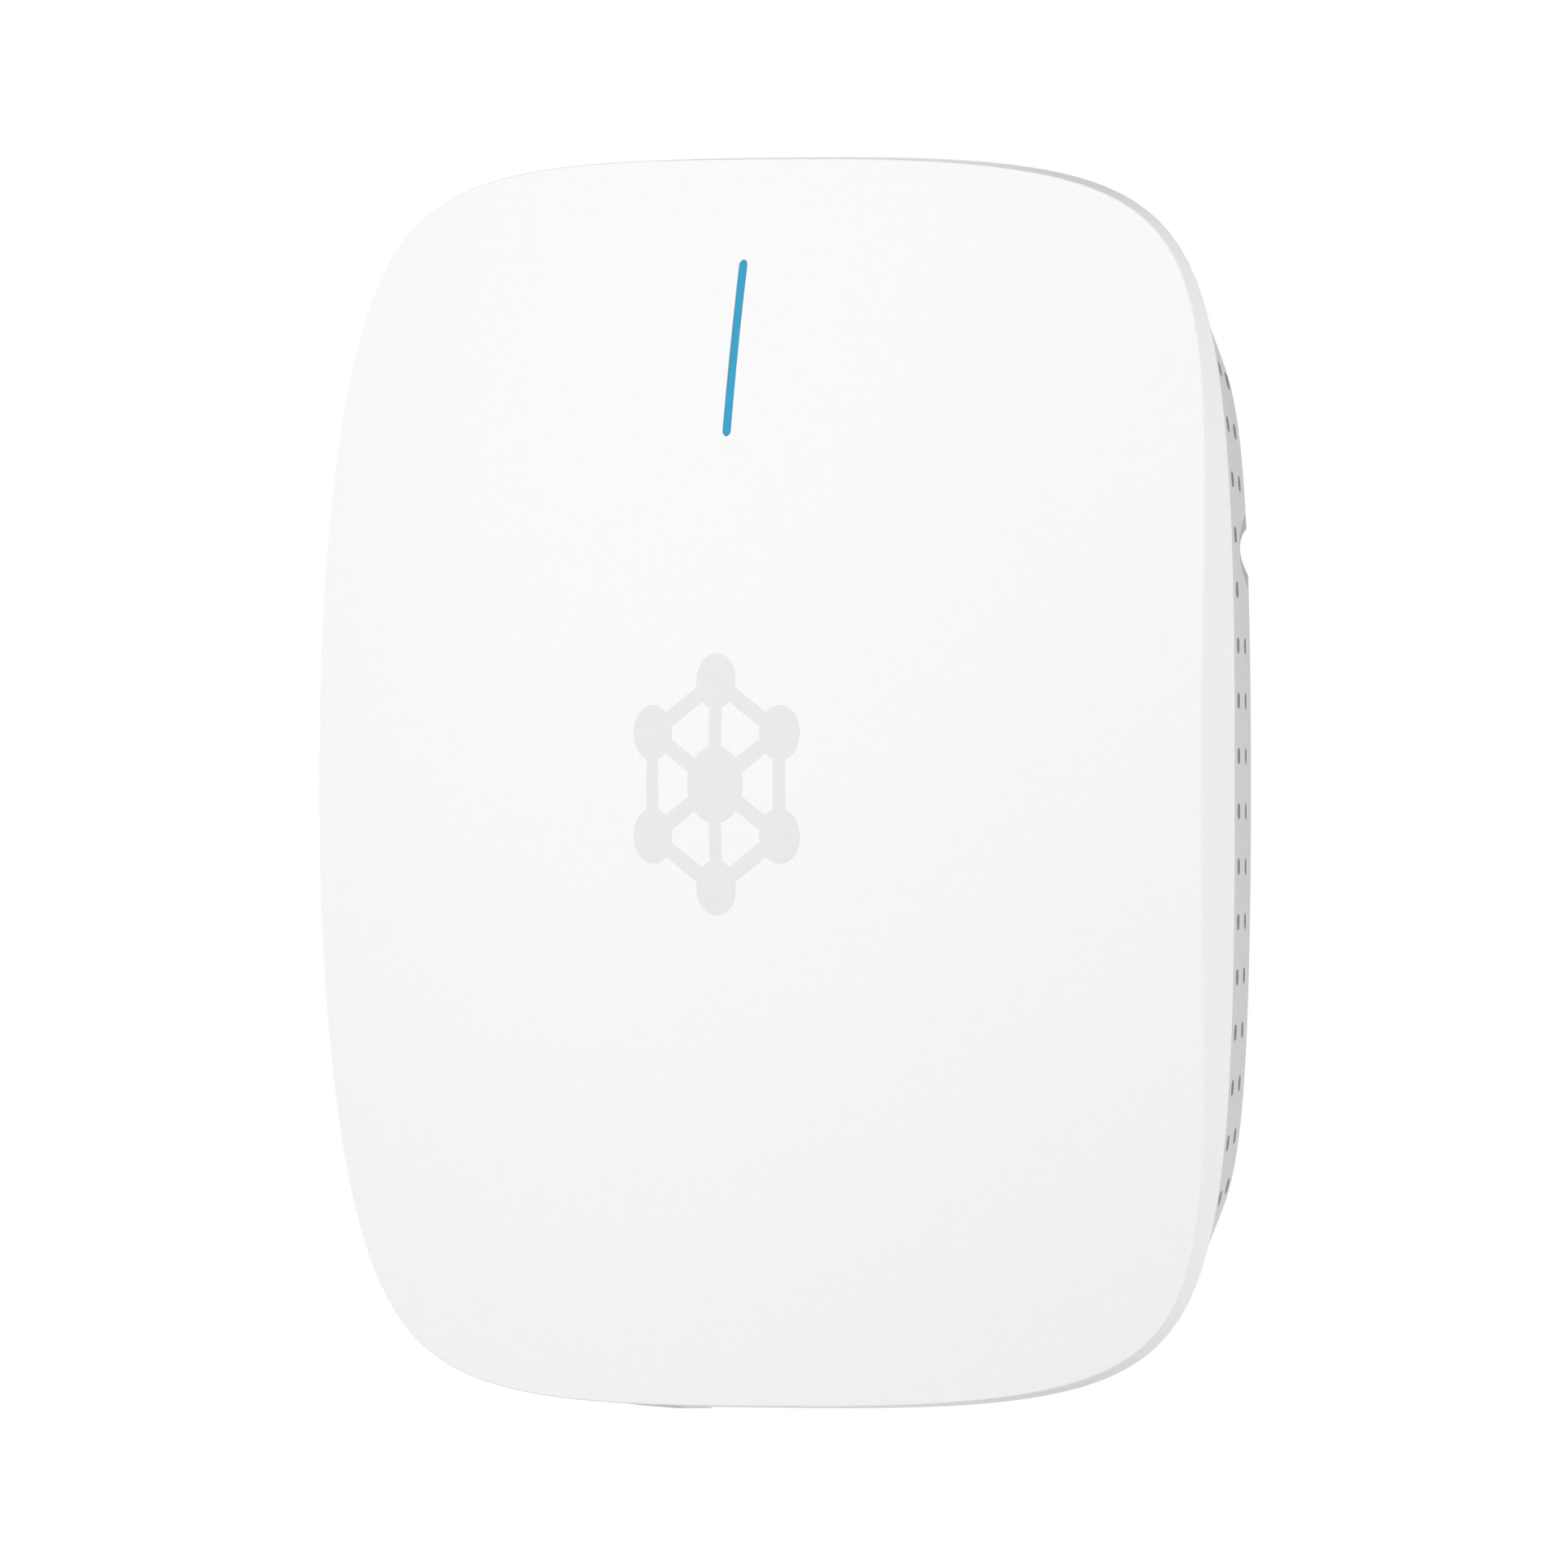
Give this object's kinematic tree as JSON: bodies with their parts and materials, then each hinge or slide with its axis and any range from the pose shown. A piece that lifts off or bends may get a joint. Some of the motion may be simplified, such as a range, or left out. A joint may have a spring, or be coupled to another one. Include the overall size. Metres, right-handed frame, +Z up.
{
  "type": "wall access point",
  "caption": "Square domed wireless access point with a slanted status light, a vented tapered back, a cable bay and a wall bracket that it hooks onto.",
  "frame": {"origin": "centre of the wall bracket's back face, on the wall plane", "axes": "+Y into the wall, -Y out of the front, +Z up, +X to the right seen from the front"},
  "size_m": [0.1804, 0.038, 0.1804],
  "materials": {
    "cover_white": "fine matte texture",
    "housing_white": "fine matte texture",
    "light_blue": "satin, lit from behind",
    "black_plastic": "matte",
    "board_green": "solder resist",
    "tinned_steel": "tinned sheet",
    "zinc_plated_steel": "zinc plated",
    "spring_steel": "polished strip",
    "aluminium": "mill",
    "chip_black": "moulded epoxy",
    "pad_grey": "soft silicone",
    "antenna_brass": "stamped",
    "led_package": "phosphor window",
    "flex_amber": "polyimide",
    "ferrite": "moulded ferrite",
    "label_film": "satin film, blank"
  },
  "bodies": {
    "bracket": {"wall_bracket": "zinc_plated_steel", "latch_rivet_1": "zinc_plated_steel", "latch_rivet_2": "zinc_plated_steel"},
    "latch": {"latch_spring": "spring_steel"},
    "access_point": {"front_cover": "cover_white", "rear_housing": "housing_white", "light_pipe": "light_blue", "light_shield": "black_plastic", "led_board": "board_green", "status_led_1": "led_package", "status_led_2": "led_package", "status_led_3": "led_package", "led_flex": "flex_amber", "main_board": "board_green", "heat_spreader": "aluminium", "cpu_shield": "tinned_steel", "cpu_chip": "chip_black", "cpu_pad": "pad_grey", "radio_2g_shield": "tinned_steel", "radio_2g_chip": "chip_black", "radio_2g_pad": "pad_grey", "radio_5g_shield": "tinned_steel", "radio_5g_chip": "chip_black", "radio_5g_pad": "pad_grey", "memory_chip": "chip_black", "antenna_2g_left": "antenna_brass", "antenna_2g_right": "antenna_brass", "antenna_5g_left": "antenna_brass", "antenna_5g_right": "antenna_brass", "antenna_bluetooth": "antenna_brass", "ethernet_jack": "tinned_steel", "dc_jack": "black_plastic", "reset_switch": "black_plastic", "ethernet_transformer": "chip_black", "power_inductor": "ferrite", "capacitor_1": "aluminium", "capacitor_2": "aluminium", "case_screw_1": "zinc_plated_steel", "case_screw_2": "zinc_plated_steel", "case_screw_3": "zinc_plated_steel", "case_screw_4": "zinc_plated_steel", "board_screw_1": "zinc_plated_steel", "board_screw_2": "zinc_plated_steel", "board_screw_3": "zinc_plated_steel", "board_screw_4": "zinc_plated_steel", "rating_label": "label_film"},
    "reset": {"reset_button": "black_plastic"}
  },
  "joints": [
    {"name": "lift_off", "type": "slide", "parent": "bracket", "child": "access_point", "axis": [0, 0, 1], "range_m": [0, 0.008]},
    {"name": "latch_flex", "type": "hinge", "parent": "bracket", "child": "latch", "pos_m": [0, -0.00205, -0.0385], "axis": [-1, 0, 0], "range_deg": [0, 4.4], "stiffness_Nm_per_rad": 0.05},
    {"name": "reset_press", "type": "slide", "parent": "access_point", "child": "reset", "axis": [-1, 0, 0], "range_m": [0, 0.0005], "stiffness_N_per_m": 400, "springref_m": -0.0002}
  ],
  "couplings": [
    {"joint": "latch_flex", "follows": "lift_off", "rad_per_m": 9.5625}
  ]
}
